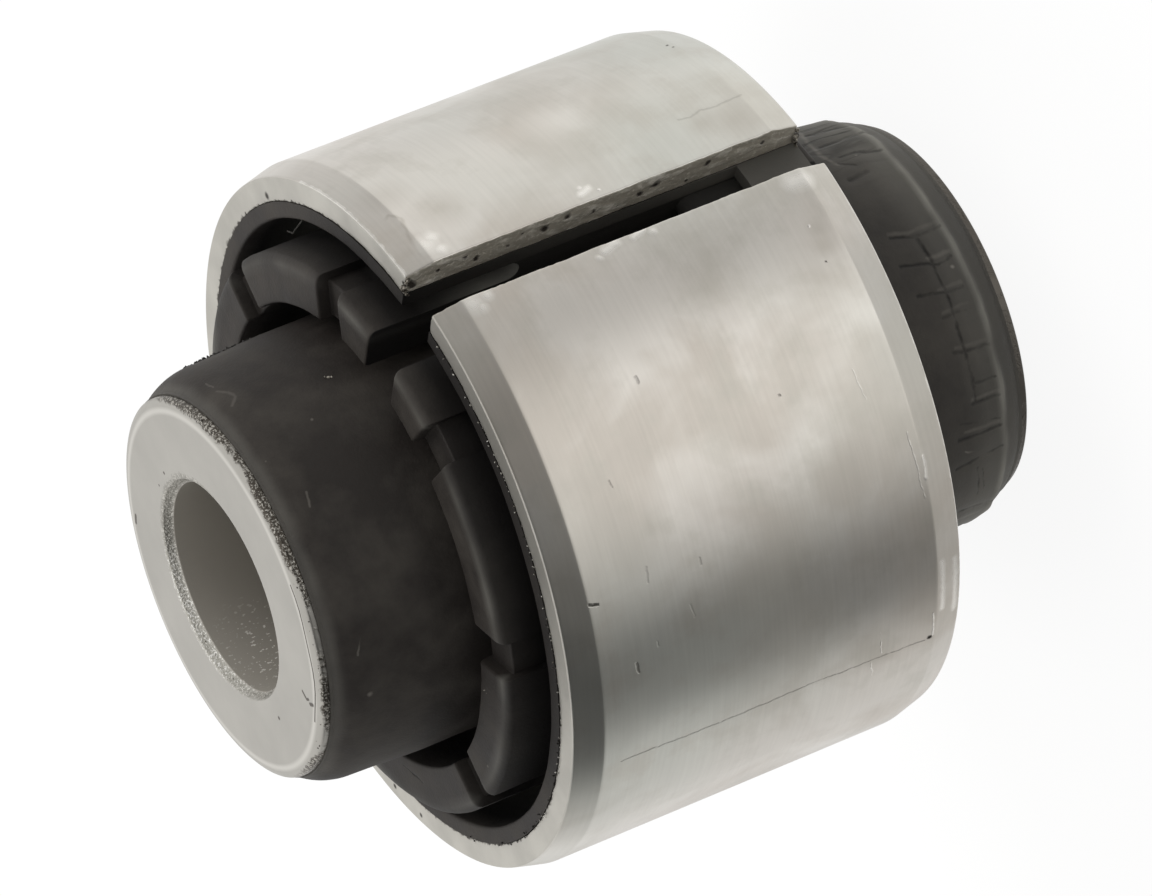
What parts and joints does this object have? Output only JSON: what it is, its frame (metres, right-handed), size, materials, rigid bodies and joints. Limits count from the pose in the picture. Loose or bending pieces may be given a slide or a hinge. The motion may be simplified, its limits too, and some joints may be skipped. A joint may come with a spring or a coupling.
{
  "type": "rubber metal bush",
  "caption": "Rubber metal suspension bush: split steel outer sleeve, rubber moulding with notched stop rings in the end recesses, and a steel bolt tube standing out at both ends.",
  "frame": {"origin": "middle of the bolt tube's lower end face, on the axis of the bush", "axes": "+Z along the axis of the bush, towards the end that shows in the picture; -Y towards the split in the outer sleeve; +X completes the right-handed frame"},
  "size_m": [0.042, 0.042, 0.046],
  "materials": {
    "sleeve_steel": "satin, drawn tube with fine marks and stains",
    "black_rubber": "matte, moulded, lightly scuffed",
    "tube_steel": "satin, turned faces"
  },
  "bodies": {
    "root": {"outer_sleeve": "sleeve_steel", "rubber_body": "black_rubber", "bolt_tube": "tube_steel"}
  },
  "joints": []
}
